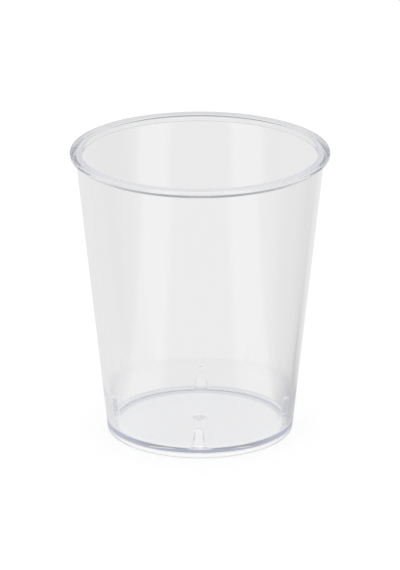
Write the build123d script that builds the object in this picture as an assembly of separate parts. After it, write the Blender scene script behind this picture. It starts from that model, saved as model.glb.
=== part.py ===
from build123d import *
import math
import os

# Plastic shot glass, one clear moulding. Millimetres, +Z up, origin at the centre of the base
# on the plane that the glass stands on. The four stacking lugs lie on the X and Y axes.

# Overall size
height = 47.35
rim_diameter = 42.0
foot_diameter = 30.24  # of the outer wall's cone where it would meet the table

# Wall and rim bead
wall_thickness = 1.0
rim_overhang = 1.0  # from the outer wall to the bead's edge
rim_depth = 1.3  # from the top of the glass to the crease under the bead
rim_edge_depth = 0.6  # from the top of the glass to the bead's lower corner
rim_top_round = 0.2
lip_round = 0.2

# Floor and the ring that the glass stands on
floor_thickness = 0.9
floor_recess = 0.75  # from the table to the underside of the floor
ring_width = 0.9
heel_bevel = 0.3
floor_round = 0.4

# Stacking lugs, half cones that stand in the corner between floor and wall
lug_count = 4
lug_height = 3.5
lug_foot_radius = 1.15
lug_shoulder_radius = 0.55  # where the bevel of the tip begins
lug_tip_bevel = 0.25
lug_root_share = 0.5  # of the wall and floor, how far a lug's root reaches into them

# Injection mark under the middle of the floor: a shallow dish with a short nub in it
gate_dish_radius = 1.4
gate_dish_depth = 0.15
gate_nub_radius = 0.45
gate_nub_length = 0.3

crease_height = height - rim_depth
crease_radius = rim_diameter / 2 - rim_overhang
wall_slope = (crease_radius - foot_diameter / 2) / crease_height
wall_across = wall_thickness * math.hypot(1, wall_slope)  # level, through the sloping wall
floor_height = floor_recess + floor_thickness


def outer_radius(level):
    """Radius of the outer wall at a height above the table."""
    return foot_diameter / 2 + wall_slope * level


def inner_radius(level):
    """Radius of the inner wall at a height above the table."""
    return outer_radius(level) - wall_across


def turned(corners):
    """Solid of revolution from (radius, height, rounding) corners, given in order round its section."""
    points = [(radius, level) for radius, level, rounding in corners]
    roundings = [rounding for radius, level, rounding in corners]
    outline = FilletPolyline(*points, radius=roundings, close=True)
    return revolve(make_face(Plane.XZ * outline), Axis.Z)


def moulding():
    """The cup with its bead, floor, standing ring and injection mark."""
    rim_radius = rim_diameter / 2
    ring_inner_radius = outer_radius(0) - ring_width
    dish_level = floor_recess + gate_dish_depth
    nub_level = dish_level - gate_nub_length
    return turned([
        (0, nub_level, 0),
        (gate_nub_radius, nub_level, 0),
        (gate_nub_radius, dish_level, 0),
        (gate_dish_radius, dish_level, 0),
        (gate_dish_radius, floor_recess, 0),
        (ring_inner_radius, floor_recess, 0),
        (ring_inner_radius, 0, 0),
        (outer_radius(0) - heel_bevel, 0, 0),
        (outer_radius(heel_bevel), heel_bevel, 0),
        (crease_radius, crease_height, 0),
        (rim_radius, height - rim_edge_depth, 0),
        (rim_radius, height, rim_top_round),
        (inner_radius(height), height, lip_round),
        (inner_radius(floor_height), floor_height, floor_round),
        (0, floor_height, 0),
    ])


def lug_bed():
    """Inside of the glass, carried part of the way into the floor and the wall."""
    bed_level = floor_height - floor_thickness * lug_root_share
    bed_reach = wall_across * lug_root_share
    return turned([
        (0, bed_level, 0),
        (inner_radius(bed_level) + bed_reach, bed_level, 0),
        (inner_radius(height) + bed_reach, height, 0),
        (0, height, 0),
    ])


def lug():
    """One stacking lug on the +X side, an upright cone on the inner face of the wall, cut off inside it."""
    cone = turned([
        (0, -floor_thickness, 0),
        (lug_foot_radius, -floor_thickness, 0),
        (lug_foot_radius, 0, 0),
        (lug_shoulder_radius, lug_height - lug_tip_bevel, 0),
        (lug_shoulder_radius - lug_tip_bevel, lug_height, 0),
        (0, lug_height, 0),
    ])
    return Pos(inner_radius(floor_height), 0, floor_height) * cone & lug_bed()


shot_glass = moulding()
for place in PolarLocations(0, lug_count):
    shot_glass += place * lug()
shot_glass.label = "shot_glass"

os.makedirs("parts", exist_ok=True)
export_step(shot_glass, "parts/shot_glass.step")
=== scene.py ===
"""Clear plastic shot glass: the visual model of its one moulding, and the pale studio that it is shown in."""

import math

import bpy
from bpy.props import FloatProperty, FloatVectorProperty, IntProperty, PointerProperty
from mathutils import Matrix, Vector


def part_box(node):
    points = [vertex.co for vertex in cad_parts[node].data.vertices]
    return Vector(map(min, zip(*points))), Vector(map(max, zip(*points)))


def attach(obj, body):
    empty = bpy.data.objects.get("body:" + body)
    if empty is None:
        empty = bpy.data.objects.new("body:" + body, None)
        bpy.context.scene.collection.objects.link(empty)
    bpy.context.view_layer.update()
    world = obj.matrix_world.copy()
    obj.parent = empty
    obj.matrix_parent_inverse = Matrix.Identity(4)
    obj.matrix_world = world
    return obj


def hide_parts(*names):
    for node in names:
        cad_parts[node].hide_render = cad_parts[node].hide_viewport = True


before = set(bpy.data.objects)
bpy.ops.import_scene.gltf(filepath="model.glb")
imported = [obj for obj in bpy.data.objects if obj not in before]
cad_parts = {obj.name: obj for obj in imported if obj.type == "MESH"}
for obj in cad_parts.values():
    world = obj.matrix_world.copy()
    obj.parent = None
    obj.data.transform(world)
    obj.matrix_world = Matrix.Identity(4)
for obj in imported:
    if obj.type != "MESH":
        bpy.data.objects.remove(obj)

bl_info = {
    "name": "Plastic shot glass",
    "version": (1, 0, 0),
    "blender": (4, 5, 0),
    "location": "3D View > Sidebar > Shot Glass",
    "description": "Builds a clear moulded shot glass with stacking lugs, and a studio for it",
    "category": "Add Mesh",
}

NODE = "shot_glass"
BODY = "root"
MM = 0.001
BOX_LOW, BOX_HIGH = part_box(NODE)
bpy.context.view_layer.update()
POLE_MERGE = 1e-6
LONGEST_FACET = 1.5 * MM
CREASE_ANGLE = math.radians(32)

# Bounces that a path may take: enough for light that is caught in the plastic to come out of it.
BOUNCES = 256

# Halfway to the next whole number, where a count is told from its neighbour.
HALF_STEP = 0.5

# Roundings, as shares of the nub's length, the dish's radius, the skirt's width and the lug tip's radius.
NUB_ROUND = 0.3
DISH_ROUND = 0.4
SKIRT_ROUND = 1.5
TIP_ROUND = 0.9

# The upright edge of a lug's skirt, as a share of the skirt's width.
SKIRT_EDGE = 0.1

# How far a lug goes into the floor and the wall, as a share of their thickness, and how deep it is before
# it is cut, as a multiple of that.
LUG_ROOT = 0.5
LUG_STOCK = 2.0

# The haze at the gate: where it begins and is full, in dish radii, and its top, in floor thicknesses.
HAZE_EDGE = (1.2, 0.8)
HAZE_TOP = 0.9

# Where a shade of the table begins and is full, as the cosine of the angle from the right for the first
# of them and from straight behind for the others.
RIGHT_SHADE = (0.2, 0.9)
BEHIND_SHADE = (0.45, 0.95)
STRIPE_SHADE = (0.2, 0.5)
FRONT_SHADE = (0.0, -0.5)
CONTACT_SHADE = (0.7, 0.95)

# How far a painted light stripe is full on each side of its middle, as a share of its width. Where the stripe
# and the painted piped light are gone, as multiples of where they are full.
STRIPE_CORE = 0.4
STRIPE_FADE = 2
PIPED_FADE = 1.2

# The floor that the camera sees: paper that takes the shadow, and a brightness of its own below it.
PAPER = 0.35
PAPER_GLOW = 0.8


def length(name, description, default):
    """A size property in metres that the sidebar shows with its unit."""
    return FloatProperty(name=name, description=description, default=default, min=0, precision=5,
                         unit="LENGTH")


def angle(name, description, degrees):
    """An angle property that the sidebar shows in degrees."""
    return FloatProperty(name=name, description=description, default=math.radians(degrees), subtype="ANGLE")


def amount(name, description, default, least=0):
    """A plain number that is not below the least."""
    return FloatProperty(name=name, description=description, default=default, min=least)


def number(name, description, default, least=1):
    """A whole number that is not below the least."""
    return IntProperty(name=name, description=description, default=default, min=least)


def tint(name, description, default):
    """A colour, where 1 is the white of the backdrop."""
    return FloatVectorProperty(name=name, description=description, default=default, subtype="COLOR", size=3)


class ShotGlassSizes(bpy.types.PropertyGroup):
    """Sizes of the moulding. Overall sizes come from the CAD frame."""

    height: length("Height", "From the table to the top of the rim", BOX_HIGH.z - BOX_LOW.z)
    rim_diameter: length("Rim diameter", "Across the bead at the top", BOX_HIGH.x - BOX_LOW.x)
    foot_diameter: length("Foot diameter", "Outer wall's cone where it meets the table", 30.24 * MM)
    wall: length("Wall", "Thickness of the wall", 1.0 * MM)
    rim_overhang: length("Rim overhang", "From the outer wall to the bead's edge", 1.0 * MM)
    rim_depth: length("Rim depth", "From the top to the crease under the bead", 1.3 * MM)
    rim_edge_depth: length("Rim edge depth", "From the top to the bead's lower corner", 0.6 * MM)
    rim_top_round: length("Rim top round", "Rounding of the bead's upper corner", 0.2 * MM)
    rim_edge_round: length("Rim edge round", "Rounding of the bead's lower corner", 0.4 * MM)
    lip_round: length("Lip round", "Rounding of the rim's inner corner", 0.2 * MM)
    crease_round: length("Crease round", "Rounding of the crease under the bead", 0.15 * MM)
    floor: length("Floor", "Thickness of the floor", 0.9 * MM)
    floor_recess: length("Floor recess", "From the table to the underside of the floor", 0.75 * MM)
    ring: length("Ring", "Width of the ring that the glass stands on", 0.9 * MM)
    ring_round: length("Ring round", "Rounding of the ring's inner corner", 0.2 * MM)
    heel_round: length("Heel round", "Rounding of the ring's outer corner", 0.35 * MM)
    recess_round: length("Recess round", "Rounding where the ring meets the floor's underside", 0.2 * MM)
    floor_round: length("Floor round", "Rounding between the floor and the wall, inside", 0.4 * MM)
    lug_height: length("Lug height", "Height of a stacking lug above the floor", 3.5 * MM)
    lug_foot_radius: length("Lug foot radius", "Radius of a lug at the floor", 1.08 * MM)
    lug_tip_radius: length("Lug tip radius", "Radius of a lug at its tip", 0.55 * MM)
    lug_skirt: length("Lug skirt", "How far a lug's foot flares out over the floor", 0.25 * MM)
    gate_dish_radius: length("Gate dish radius", "Shallow dish under the middle of the floor", 1.4 * MM)
    gate_dish_depth: length("Gate dish depth", "Depth of that dish", 0.15 * MM)
    gate_nub_radius: length("Gate nub radius", "Injection nub in the dish", 0.45 * MM)
    gate_nub_length: length("Gate nub length", "How far the nub stands down", 0.3 * MM)
    lug_squareness: amount("Lug squareness", "2 for a round lug, more for a flatter face", 3, least=2)
    lug_count: number("Lugs", "Stacking lugs round the floor", 4)
    segments: number("Segments", "Facets round the glass", 256, least=16)
    round_steps: number("Round steps", "Facets across a rounding", 8)
    lug_segments: number("Lug segments", "Facets round a lug", 48, least=8)


class ShotGlassPlastic(bpy.types.PropertyGroup):
    """The clear plastic: how it bends and tints light, and how hazy the gate left it."""

    refraction: amount("Refraction", "How strongly the plastic bends light", 1.59, least=1)
    depth_tint: tint("Depth tint", "Colour that light keeps in the depth of the plastic", (0.0, 0.0, 0.67))
    depth_density: amount("Depth density", "How fast the depth of the plastic tints light", 0.6)
    gate_haze: amount("Gate haze", "Roughness of the injection mark", 0.3)


class Term:
    """A socket of a node tree that can stand in a sum, so that the tree is written as a formula."""

    def __init__(self, tree, socket):
        self.tree = tree
        self.socket = socket

    def __add__(self, other):
        return calc(self.tree, "ADD", self, other)

    def __sub__(self, other):
        return calc(self.tree, "SUBTRACT", self, other)

    def __mul__(self, other):
        return calc(self.tree, "MULTIPLY", self, other)

    def __truediv__(self, other):
        return calc(self.tree, "DIVIDE", self, other)


def plug(tree, value, socket):
    """Gives an input socket a constant or a link."""
    if isinstance(value, Term):
        value = value.socket
    if isinstance(value, bpy.types.NodeSocket):
        tree.links.new(value, socket)
    else:
        socket.default_value = value


def add_node(tree, kind, inputs=None, **settings):
    """A new node with its settings and its inputs, which are given by name or place."""
    node = tree.nodes.new(kind)
    for name, value in settings.items():
        setattr(node, name, value)
    for key, value in (inputs or {}).items():
        plug(tree, value, node.inputs[key])
    return node


def calc(tree, operation, *values):
    """The result of a Math node."""
    node = add_node(tree, "ShaderNodeMath", operation=operation)
    for value, socket in zip(values, node.inputs):
        plug(tree, value, socket)
    return Term(tree, node.outputs[0])


def combine(tree, x, y, z):
    """A vector from three numbers or terms."""
    return add_node(tree, "ShaderNodeCombineXYZ", {0: x, 1: y, 2: z}).outputs[0]


def smooth(tree, value, start, end):
    """From 0 at start to 1 at end, with soft ends."""
    node = add_node(tree, "ShaderNodeMapRange", {"Value": value, "From Min": start, "From Max": end},
                    interpolation_type="SMOOTHSTEP")
    return Term(tree, node.outputs[0])


def mixed(tree, factor, first, second):
    """A colour between two colours."""
    node = tree.nodes.new("ShaderNodeMix")
    node.data_type = "RGBA"
    sockets = {socket.identifier: socket for socket in node.inputs}
    plug(tree, factor, sockets["Factor_Float"])
    for colour, name in ((first, "A_Color"), (second, "B_Color")):
        plug(tree, (*colour, 1) if isinstance(colour, (tuple, list)) else colour, sockets[name])
    return next(socket for socket in node.outputs if socket.identifier == "Result_Color")


def grey(level):
    """A neutral colour."""
    return (level, level, level)


class Bearings:
    """Where a point or a direction lies, as seen from the glass's axis."""

    def __init__(self, tree, vector):
        parts = add_node(tree, "ShaderNodeSeparateXYZ", {0: vector})
        self.x, self.y, self.height = (Term(tree, socket) for socket in parts.outputs)
        self.reach = calc(tree, "SQRT", self.x * self.x + self.y * self.y)

    def behind(self, azimuth):
        """1 straight behind the glass for a camera at that azimuth, and -1 in front of it."""
        return (self.y * math.cos(azimuth) - self.x * math.sin(azimuth)) / self.reach

    def right(self, azimuth):
        """1 straight to the right of the glass for a camera at that azimuth, and -1 to the left of it."""
        return (self.x * math.cos(azimuth) + self.y * math.sin(azimuth)) / self.reach


def chosen(tree, kind, values):
    """One of the values for each point, picked by the point's index."""
    index = add_node(tree, "GeometryNodeInputIndex").outputs[0]
    node = add_node(tree, "GeometryNodeIndexSwitch", data_type=kind)
    while len(node.index_switch_items) < len(values):
        node.index_switch_items.new()
    plug(tree, index, node.inputs[0])
    for value, socket in zip(values, node.inputs[1:]):
        plug(tree, value, socket)
    return node.outputs[0]


def turned(tree, corners, segments, steps, squareness=2.0):
    """Closed mesh of revolution from (radius, height, rounding) corners that run round the section, from axis
    to axis. A squareness above 2 swells it between X and Y, as a superellipse."""
    line = add_node(tree, "GeometryNodeCurvePrimitiveLine").outputs[0]
    line = add_node(tree, "GeometryNodeResampleCurve", {"Curve": line, "Count": len(corners)}).outputs[0]
    places = [combine(tree, radius, 0.0, level) for radius, level, rounding in corners]
    placed = add_node(tree, "GeometryNodeSetPosition",
                      {"Geometry": line, "Position": chosen(tree, "VECTOR", places)}).outputs[0]
    radii = chosen(tree, "FLOAT", [rounding for radius, level, rounding in corners])
    rounded = add_node(tree, "GeometryNodeFilletCurve",
                       {"Curve": placed, "Radius": radii, "Count": steps}, mode="POLY").outputs[0]
    here = add_node(tree, "GeometryNodeInputPosition").outputs[0]
    after = Term(tree, add_node(tree, "GeometryNodeInputIndex").outputs[0]) + 1.0
    there = add_node(tree, "GeometryNodeFieldAtIndex", {"Value": here, "Index": after},
                     data_type="FLOAT_VECTOR").outputs[0]
    gap = add_node(tree, "ShaderNodeVectorMath", {0: here, 1: there}, operation="DISTANCE").outputs["Value"]
    cuts = calc(tree, "FLOOR", Term(tree, gap) / LONGEST_FACET)
    dense = add_node(tree, "GeometryNodeSubdivideCurve", {"Curve": rounded, "Cuts": cuts}).outputs[0]
    section = add_node(tree, "GeometryNodeCurveToMesh", {"Curve": dense}).outputs[0]
    size = add_node(tree, "GeometryNodeAttributeDomainSize", {0: section}).outputs["Point Count"]
    columns = Term(tree, segments) + 1.0
    grid = add_node(tree, "GeometryNodeMeshGrid", {"Vertices X": size, "Vertices Y": columns}).outputs[0]
    index = Term(tree, add_node(tree, "GeometryNodeInputIndex").outputs[0])
    row = calc(tree, "FLOOR", (index + HALF_STEP) / columns)
    angle = (index - row * columns) * math.tau / Term(tree, segments)
    position = add_node(tree, "GeometryNodeInputPosition").outputs[0]
    sample = add_node(tree, "GeometryNodeSampleIndex", {"Geometry": section, "Value": position, "Index": row},
                      data_type="FLOAT_VECTOR").outputs[0]
    point = add_node(tree, "ShaderNodeSeparateXYZ", {0: sample})
    across, along = calc(tree, "COSINE", angle), calc(tree, "SINE", angle)
    powers = [calc(tree, "POWER", calc(tree, "ABSOLUTE", side), squareness) for side in (across, along)]
    swell = calc(tree, "POWER", powers[0] + powers[1], calc(tree, "DIVIDE", -1.0, squareness))
    radius = Term(tree, point.outputs["X"]) * swell
    wound = combine(tree, radius * across, radius * along, point.outputs["Z"])
    mesh = add_node(tree, "GeometryNodeSetPosition", {"Geometry": grid, "Position": wound}).outputs[0]
    merge = add_node(tree, "GeometryNodeMergeByDistance", {"Geometry": mesh, "Distance": POLE_MERGE})
    return merge.outputs[0]


def glass_tree(material):
    """Geometry Nodes tree of the whole moulding. Its inputs are the sizes."""
    tree = bpy.data.node_groups.new("Shot glass moulding", "GeometryNodeTree")
    tree.interface.new_socket("Geometry", in_out="OUTPUT", socket_type="NodeSocketGeometry")
    names = list(ShotGlassSizes.__annotations__)
    counts = ("lug_count", "segments", "round_steps", "lug_segments")
    for name in names:
        kind = "NodeSocketInt" if name in counts else "NodeSocketFloat"
        tree.interface.new_socket(name, in_out="INPUT", socket_type=kind)
    entry = add_node(tree, "NodeGroupInput")
    size = {name: Term(tree, entry.outputs[name]) for name in names}

    rim_radius = size["rim_diameter"] / 2.0
    foot_radius = size["foot_diameter"] / 2.0
    crease_height = size["height"] - size["rim_depth"]
    crease_radius = rim_radius - size["rim_overhang"]
    slope = (crease_radius - foot_radius) / crease_height
    across = size["wall"] * calc(tree, "SQRT", slope * slope + 1.0)
    floor_height = size["floor_recess"] + size["floor"]

    def inner(level):
        return foot_radius + slope * level - across

    recess = size["floor_recess"]
    ring_radius = foot_radius - size["ring"]
    dish_level = recess + size["gate_dish_depth"]
    nub_level = dish_level - size["gate_nub_length"]
    nub_round = size["gate_nub_length"] * NUB_ROUND
    cup = turned(tree, [
        (0.0, nub_level, 0.0),
        (size["gate_nub_radius"], nub_level, nub_round),
        (size["gate_nub_radius"], dish_level, nub_round),
        (size["gate_dish_radius"], recess, size["gate_dish_radius"] * DISH_ROUND),
        (ring_radius, recess, size["recess_round"]),
        (ring_radius, 0.0, size["ring_round"]),
        (foot_radius, 0.0, size["heel_round"]),
        (crease_radius, crease_height, size["crease_round"]),
        (rim_radius, size["height"] - size["rim_edge_depth"], size["rim_edge_round"]),
        (rim_radius, size["height"], size["rim_top_round"]),
        (inner(size["height"]), size["height"], size["lip_round"]),
        (inner(floor_height), floor_height, size["floor_round"]),
        (0.0, floor_height, 0.0),
    ], size["segments"].socket, size["round_steps"].socket)

    root = size["floor"] * LUG_ROOT
    stock_level = root * -LUG_STOCK
    skirt_radius = size["lug_foot_radius"] + size["lug_skirt"]
    cone = turned(tree, [
        (0.0, stock_level, 0.0),
        (skirt_radius, stock_level, 0.0),
        (skirt_radius, size["lug_skirt"] * SKIRT_EDGE, 0.0),
        (size["lug_foot_radius"], size["lug_skirt"], size["lug_skirt"] * SKIRT_ROUND),
        (size["lug_tip_radius"], size["lug_height"], size["lug_tip_radius"] * TIP_ROUND),
        (0.0, size["lug_height"], 0.0),
    ], size["lug_segments"].socket, size["round_steps"].socket, size["lug_squareness"])
    bed_level = floor_height - root
    wall_root = across * LUG_ROOT
    bed = turned(tree, [
        (0.0, bed_level, 0.0),
        (inner(bed_level) + wall_root, bed_level, 0.0),
        (inner(size["height"]) + wall_root, size["height"], 0.0),
        (0.0, size["height"], 0.0),
    ], size["segments"].socket, size["round_steps"].socket)
    stand = combine(tree, inner(floor_height), 0.0, floor_height)
    placed = add_node(tree, "GeometryNodeTransform", {"Geometry": cone, "Translation": stand}).outputs[0]
    lug = add_node(tree, "GeometryNodeMeshBoolean", operation="INTERSECT", solver="EXACT")
    plug(tree, placed, lug.inputs["Mesh 2"])
    plug(tree, bed, lug.inputs["Mesh 2"])

    ring = add_node(tree, "GeometryNodeMeshCircle", {"Vertices": size["lug_count"], "Radius": 1.0}).outputs[0]
    axis = combine(tree, 0.0, 0.0, 0.0)
    centre = add_node(tree, "GeometryNodeSetPosition", {"Geometry": ring, "Position": axis}).outputs[0]
    index = Term(tree, add_node(tree, "GeometryNodeInputIndex").outputs[0])
    turn = combine(tree, 0.0, 0.0, index * math.tau / size["lug_count"])
    lugs = add_node(tree, "GeometryNodeInstanceOnPoints", {
        "Points": centre, "Instance": lug.outputs["Mesh"], "Rotation": turn}).outputs[0]
    real = add_node(tree, "GeometryNodeRealizeInstances", {"Geometry": lugs}).outputs[0]
    union = add_node(tree, "GeometryNodeMeshBoolean", operation="UNION", solver="EXACT")
    plug(tree, cup, union.inputs["Mesh 2"])
    plug(tree, real, union.inputs["Mesh 2"])
    done = add_node(tree, "GeometryNodeRealizeInstances", {"Geometry": union.outputs["Mesh"]}).outputs[0]
    painted = add_node(tree, "GeometryNodeSetMaterial", {"Geometry": done, "Material": material}).outputs[0]
    add_node(tree, "NodeGroupOutput", {0: painted})
    return tree


def bounced(tree, fewest, most):
    """1 for light that has met this many surfaces on its way to the camera, and 0 for other light."""
    depth = Term(tree, add_node(tree, "ShaderNodeLightPath").outputs["Ray Depth"])
    enough = calc(tree, "GREATER_THAN", depth, fewest - HALF_STEP)
    return enough * calc(tree, "LESS_THAN", depth, most + HALF_STEP)


def empty_tree(owner):
    """The cleared node tree of a new material or world."""
    owner.use_nodes = True
    owner.node_tree.nodes.clear()
    return owner.node_tree


def polystyrene(plastic):
    """Clear polystyrene with a faint blue tint in its depth, and a haze where the gate left its mark."""
    material = bpy.data.materials.new("Clear polystyrene")
    tree = empty_tree(material)
    sizes = bpy.context.scene.shot_glass_sizes
    place = Bearings(tree, add_node(tree, "ShaderNodeTexCoord").outputs["Object"])
    haze_start, haze_full = (sizes.gate_dish_radius * share for share in HAZE_EDGE)
    spot = smooth(tree, place.reach, haze_start, haze_full)
    under = calc(tree, "LESS_THAN", place.height, sizes.floor_recess + sizes.floor * HAZE_TOP)
    shader = add_node(tree, "ShaderNodeBsdfPrincipled", {
        "Base Color": (1, 1, 1, 1), "Transmission Weight": 1.0, "IOR": plastic.refraction,
        "Roughness": spot * under * plastic.gate_haze})
    depth = add_node(tree, "ShaderNodeVolumeAbsorption", {
        "Color": (*plastic.depth_tint, 1), "Density": plastic.depth_density})
    add_node(tree, "ShaderNodeOutputMaterial", {"Surface": shader.outputs[0], "Volume": depth.outputs[0]})
    return material


def plain_mesh(context, glass, modifier):
    """Turns what the modifier makes of the glass into its own mesh, and takes the modifier off."""
    graph = context.evaluated_depsgraph_get()
    mesh = bpy.data.meshes.new_from_object(glass.evaluated_get(graph), depsgraph=graph)
    glass.modifiers.remove(modifier)
    glass.data = mesh
    return mesh


class SHOTGLASS_OT_body(bpy.types.Operator):
    """Build the clear moulding: cup, rim bead, floor, standing ring and stacking lugs"""

    bl_idname = "shotglass.body"
    bl_label = "Build Shot Glass"

    def execute(self, context):
        sizes = context.scene.shot_glass_sizes
        material = polystyrene(context.scene.shot_glass_plastic)
        tree = glass_tree(material)
        glass = bpy.data.objects.new("Shot_glass", bpy.data.meshes.new("Shot glass seed"))
        context.scene.collection.objects.link(glass)
        modifier = glass.modifiers.new("Moulding", "NODES")
        modifier.node_group = tree
        for item in tree.interface.items_tree:
            if item.in_out == "INPUT":
                modifier[item.identifier] = getattr(sizes, item.name)
        mesh = plain_mesh(context, glass, modifier)
        if not mesh.polygons:
            raise RuntimeError("the moulding's tree gave no faces")
        mesh.polygons.foreach_set("use_smooth", [True] * len(mesh.polygons))
        mesh.set_sharp_from_angle(angle=CREASE_ANGLE)
        weighted = glass.modifiers.new("Flat faces stay flat", "WEIGHTED_NORMAL")
        weighted.keep_sharp = True
        plain_mesh(context, glass, weighted).name = "Shot glass"
        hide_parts(NODE)
        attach(glass, BODY)
        return {"FINISHED"}


class ShotGlassStage(bpy.types.PropertyGroup):
    """The studio: where the camera stands, and how bright each side is in what the glass shows, with the
    painted shade, painted shadow and painted light on its table.

    1 is the white of the backdrop. A bounce is a surface that light meets on its way to the camera."""

    elevation: angle("Elevation", "Camera above the horizon", 19.63)
    azimuth: angle("Azimuth", "Camera round the glass, from the front towards +X", 0.7)
    distance: length("Distance", "From the camera to its target", 844.2 * MM)
    target_height: length("Target height", "Point on the axis that the camera looks at", 24.4 * MM)
    lens: amount("Lens", "Focal length in millimetres", 328.03, least=1)
    floor_size: length("Floor size", "Side of the pale floor", 30.0)
    # Painted shade: the table the glass shows gets a different grey on each side of it, darkest on the right
    # and lightest in front.
    table_behind: amount("Table behind", "Table beyond the glass", 0.82)
    # Painted light: a pale stripe on each side of the table behind, standing in for soft boxes at the sides.
    table_light_stripe: amount("Table stripes", "A pale stripe on each side of the table behind", 0.87)
    table_left: amount("Table left", "Table on the left of the glass", 0.8)
    table_right: amount("Table right", "Table on the right of the glass", 0.58)
    table_front: amount("Table front", "Table between the glass and the camera", 0.95)
    table_under: amount("Table under", "Table under the floor of the glass", 0.98)
    # Painted shadow on the table under the ring that the glass stands on.
    shadow_under_ring: tint("Under the ring", "Table under the ring that the glass stands on", (0.8, 0.8, 0.83))
    corner_shade: tint("Corner shade", "Table just inside that ring", (0.72, 0.73, 0.76))
    corner_width: length("Corner width", "How far that shade reaches in from the ring", 1.0 * MM)
    stripe_place: length("Stripe place", "From the middle to the middle of a pale stripe", 10.2 * MM)
    stripe_width: length("Stripe width", "Width of a pale stripe", 6.0 * MM)
    # Painted contact shadow on the table close round the foot, as the glass shows it: one grey behind the
    # foot and one beside it.
    contact_shadow_behind: tint("Contact behind", "Table close behind the foot", (0.6, 0.61, 0.66))
    contact_shadow_side: tint("Contact beside", "Table close round the foot elsewhere", (0.55, 0.56, 0.62))
    contact_width: length("Contact width", "How far that shade reaches out from the foot", 2.0 * MM)
    # Painted light and shade: a fixed tone that paths of so many bounces see on the table near the glass and
    # low in the room, in place of light piped along the plastic.
    piped: tint("Piped light", "What a path along the floor or the wall shows at its end", (0.42, 0.44, 0.54))
    piped_reach: length("Piped reach", "How far out over the table such light reaches", 22.0 * MM)
    piped_fewest: number("Piped from", "Fewest bounces of such a path", 5)
    piped_most: number("Piped to", "Most bounces of such a path", 11)
    # Painted light: the table and the room glow with this colour for paths of at least so many bounces, in
    # place of light caught in the plastic.
    glow: tint("Glow", "What shows where light has gone round and round in the plastic", (0.9, 0.9, 0.9))
    glow_bounces: number("Glow bounces", "Fewest bounces of a path that shows that glow", 12)
    low_sky: tint("Low surroundings", "Room near the horizon", (0.15, 0.16, 0.2))
    high_sky: tint("High surroundings", "Soft light overhead", (0.82, 0.82, 0.82))
    low_end: angle("Low end", "Elevation where the room near the horizon begins to lighten", 22.0)
    high_start: angle("High start", "Elevation where the soft light is full", 32.0)
    backdrop: tint("Backdrop", "Lit backdrop behind the glass", (0.35, 0.36, 0.4))
    backdrop_height: angle("Backdrop height", "Elevation of the lit backdrop's middle", 15.0)
    backdrop_full: angle("Backdrop full", "Angle from its middle within which the backdrop is full", 22.0)
    backdrop_gone: angle("Backdrop gone", "Angle from its middle beyond which the backdrop is gone", 42.0)


def camera_apart(tree, output, shown, seen):
    """Ends a tree with one shader for what the glass shows and another for what the camera itself sees."""
    path = add_node(tree, "ShaderNodeLightPath")
    both = add_node(tree, "ShaderNodeMixShader", {
        0: path.outputs["Is Camera Ray"], 1: shown.outputs[0], 2: seen.outputs[0]})
    add_node(tree, output, {"Surface": both.outputs[0]})


def floor_material(stage):
    """White floor for the camera, with the glass's shadow; for what the glass shows, a table with painted
    shade by side, painted contact shadow, painted light stripes, and a painted piped tone and glow picked by
    the bounces of a path.
    """
    material = bpy.data.materials.new("Studio floor")
    tree = empty_tree(material)
    place = Bearings(tree, add_node(tree, "ShaderNodeTexCoord").outputs["Object"])
    reach = place.reach
    behind = place.behind(stage.azimuth)
    right = place.right(stage.azimuth)

    # Painted shade by side: the table is darker to the right and lighter in front than behind.
    rightwards = smooth(tree, right, *RIGHT_SHADE)
    sides = mixed(tree, rightwards, grey(stage.table_left), grey(stage.table_right))
    table = mixed(tree, smooth(tree, behind, *BEHIND_SHADE), sides, grey(stage.table_behind))
    # Painted light: a pale stripe on each side of the table behind the glass.
    from_stripe = calc(tree, "ABSOLUTE", calc(tree, "ABSOLUTE", right * reach) - stage.stripe_place)
    core = stage.stripe_width * STRIPE_CORE
    stripe = smooth(tree, from_stripe, core * STRIPE_FADE, core) * smooth(tree, behind, *STRIPE_SHADE)
    table = mixed(tree, stripe, table, grey(stage.table_light_stripe))
    table = mixed(tree, smooth(tree, behind, *FRONT_SHADE), table, grey(stage.table_front))

    sizes = bpy.context.scene.shot_glass_sizes
    foot_radius = sizes.foot_diameter / 2
    # Painted contact shadow: the table darkens towards the foot.
    shade = smooth(tree, reach, foot_radius + stage.contact_width, foot_radius)
    backwards = smooth(tree, behind, *CONTACT_SHADE)
    painted_contact = mixed(tree, backwards, tuple(stage.contact_shadow_side), tuple(stage.contact_shadow_behind))
    table = mixed(tree, shade, table, painted_contact)
    # Painted shadow on the table under the ring, then the table under the floor with its painted shade just
    # inside the ring.
    table = mixed(tree, calc(tree, "LESS_THAN", reach, foot_radius), table, tuple(stage.shadow_under_ring))
    inside = foot_radius - sizes.ring
    corner = smooth(tree, reach, inside - stage.corner_width, inside)
    under = mixed(tree, corner, grey(stage.table_under), tuple(stage.corner_shade))
    table = mixed(tree, calc(tree, "LESS_THAN", reach, inside), table, under)

    # Painted light and shade: near the glass, paths of the piped bounce counts see the piped tone instead of
    # the table.
    near = smooth(tree, reach, stage.piped_reach * PIPED_FADE, stage.piped_reach)
    around = near * calc(tree, "GREATER_THAN", reach, foot_radius)
    piped = around * bounced(tree, stage.piped_fewest, stage.piped_most)
    table = mixed(tree, piped, table, tuple(stage.piped))
    # Painted light: paths of many bounces see the painted glow instead of the table.
    table = mixed(tree, bounced(tree, stage.glow_bounces, BOUNCES), table, tuple(stage.glow))

    shown = add_node(tree, "ShaderNodeEmission", {"Color": table, "Strength": 1.0})
    paper = add_node(tree, "ShaderNodeBsdfDiffuse", {"Color": (*grey(PAPER), 1)})
    glow = add_node(tree, "ShaderNodeEmission", {"Color": (*grey(PAPER_GLOW), 1), "Strength": 1.0})
    lit = add_node(tree, "ShaderNodeAddShader", {0: paper.outputs[0], 1: glow.outputs[0]})
    camera_apart(tree, "ShaderNodeOutputMaterial", shown, lit)
    return material


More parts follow.
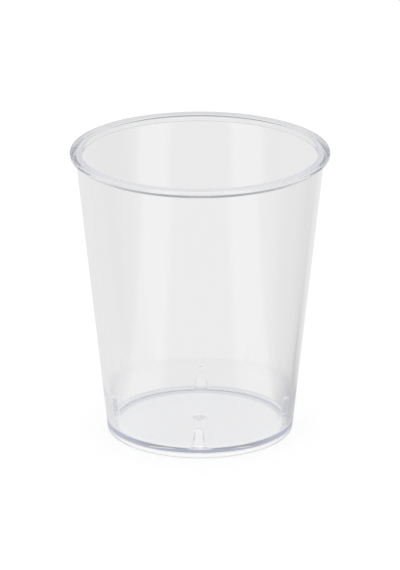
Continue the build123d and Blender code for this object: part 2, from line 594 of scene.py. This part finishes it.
def studio_world(stage):
    """White backdrop for the camera; a soft room for what the glass shows."""
    world = bpy.data.worlds.new("Studio")
    tree = empty_tree(world)
    direction = Bearings(tree, add_node(tree, "ShaderNodeTexCoord").outputs["Generated"])
    rise = smooth(tree, direction.height, math.sin(stage.low_end), math.sin(stage.high_start))
    # Painted light and shade: paths of the piped bounce counts see the piped tone low in the room instead of
    # the dark horizon.
    piped = bounced(tree, stage.piped_fewest, stage.piped_most)
    low = mixed(tree, piped, tuple(stage.low_sky), tuple(stage.piped))
    room = mixed(tree, rise, low, tuple(stage.high_sky))

    level = direction.behind(stage.azimuth) * direction.reach * math.cos(stage.backdrop_height)
    facing = level + direction.height * math.sin(stage.backdrop_height)
    lit = smooth(tree, facing, math.cos(stage.backdrop_gone), math.cos(stage.backdrop_full))
    room = mixed(tree, lit * calc(tree, "SUBTRACT", 1.0, rise), room, tuple(stage.backdrop))
    # Painted light: paths of many bounces see the painted glow instead of the room.
    room = mixed(tree, bounced(tree, stage.glow_bounces, BOUNCES), room, tuple(stage.glow))

    shown = add_node(tree, "ShaderNodeBackground", {"Color": room, "Strength": 1.0})
    white = add_node(tree, "ShaderNodeBackground", {"Color": (1, 1, 1, 1), "Strength": 1.0})
    camera_apart(tree, "ShaderNodeOutputWorld", shown, white)
    return world


class SHOTGLASS_OT_stage(bpy.types.Operator):
    """Set up the pale floor, the soft surroundings and the camera"""

    bl_idname = "shotglass.stage"
    bl_label = "Set Up Studio"

    def execute(self, context):
        scene = context.scene
        stage = scene.shot_glass_stage
        half = stage.floor_size / 2
        mesh = bpy.data.meshes.new("Floor")
        corners = [(-half, -half, 0), (half, -half, 0), (half, half, 0), (-half, half, 0)]
        mesh.from_pydata(corners, [], [(0, 1, 2, 3)])
        mesh.materials.append(floor_material(stage))
        floor = bpy.data.objects.new("Floor", mesh)
        scene.collection.objects.link(floor)
        scene.world = studio_world(stage)

        across = math.cos(stage.elevation)
        towards = Vector((math.sin(stage.azimuth) * across, -math.cos(stage.azimuth) * across,
                          math.sin(stage.elevation)))
        camera_data = bpy.data.cameras.new("Camera")
        camera_data.lens = stage.lens
        camera_data.clip_end = stage.floor_size
        camera = bpy.data.objects.new("Camera", camera_data)
        camera.location = Vector((0, 0, stage.target_height)) + towards * stage.distance
        camera.rotation_euler = (-towards).to_track_quat("-Z", "Y").to_euler()
        scene.collection.objects.link(camera)
        scene.camera = camera
        scene.view_settings.view_transform = "Standard"
        for name in ("max_bounces", "transmission_bounces", "glossy_bounces"):
            setattr(scene.cycles, name, BOUNCES)
        return {"FINISHED"}


class SHOTGLASS_PT_panel(bpy.types.Panel):
    """Sizes and plastic of the glass, and settings of its studio"""

    bl_label = "Shot Glass"
    bl_idname = "SHOTGLASS_PT_panel"
    bl_space_type = "VIEW_3D"
    bl_region_type = "UI"
    bl_category = "Shot Glass"

    def draw(self, context):
        layout = self.layout
        scene = context.scene
        for group in (scene.shot_glass_sizes, scene.shot_glass_plastic, scene.shot_glass_stage):
            column = layout.column(align=True)
            for name in group.bl_rna.properties.keys():
                if name not in ("rna_type", "name"):
                    column.prop(group, name)
        layout.operator(SHOTGLASS_OT_body.bl_idname)
        layout.operator(SHOTGLASS_OT_stage.bl_idname)


CLASSES = (ShotGlassSizes, ShotGlassPlastic, ShotGlassStage, SHOTGLASS_OT_body, SHOTGLASS_OT_stage,
           SHOTGLASS_PT_panel)


def register():
    """Adds the classes and gives the scene its three groups of settings."""
    for item in CLASSES:
        bpy.utils.register_class(item)
    bpy.types.Scene.shot_glass_sizes = PointerProperty(type=ShotGlassSizes)
    bpy.types.Scene.shot_glass_plastic = PointerProperty(type=ShotGlassPlastic)
    bpy.types.Scene.shot_glass_stage = PointerProperty(type=ShotGlassStage)


def unregister():
    """Takes the settings and the classes away again."""
    del bpy.types.Scene.shot_glass_stage
    del bpy.types.Scene.shot_glass_plastic
    del bpy.types.Scene.shot_glass_sizes
    for item in reversed(CLASSES):
        bpy.utils.unregister_class(item)


def main():
    register()
    bpy.ops.shotglass.body()
    bpy.ops.shotglass.stage()


if __name__ == "__main__":
    main()
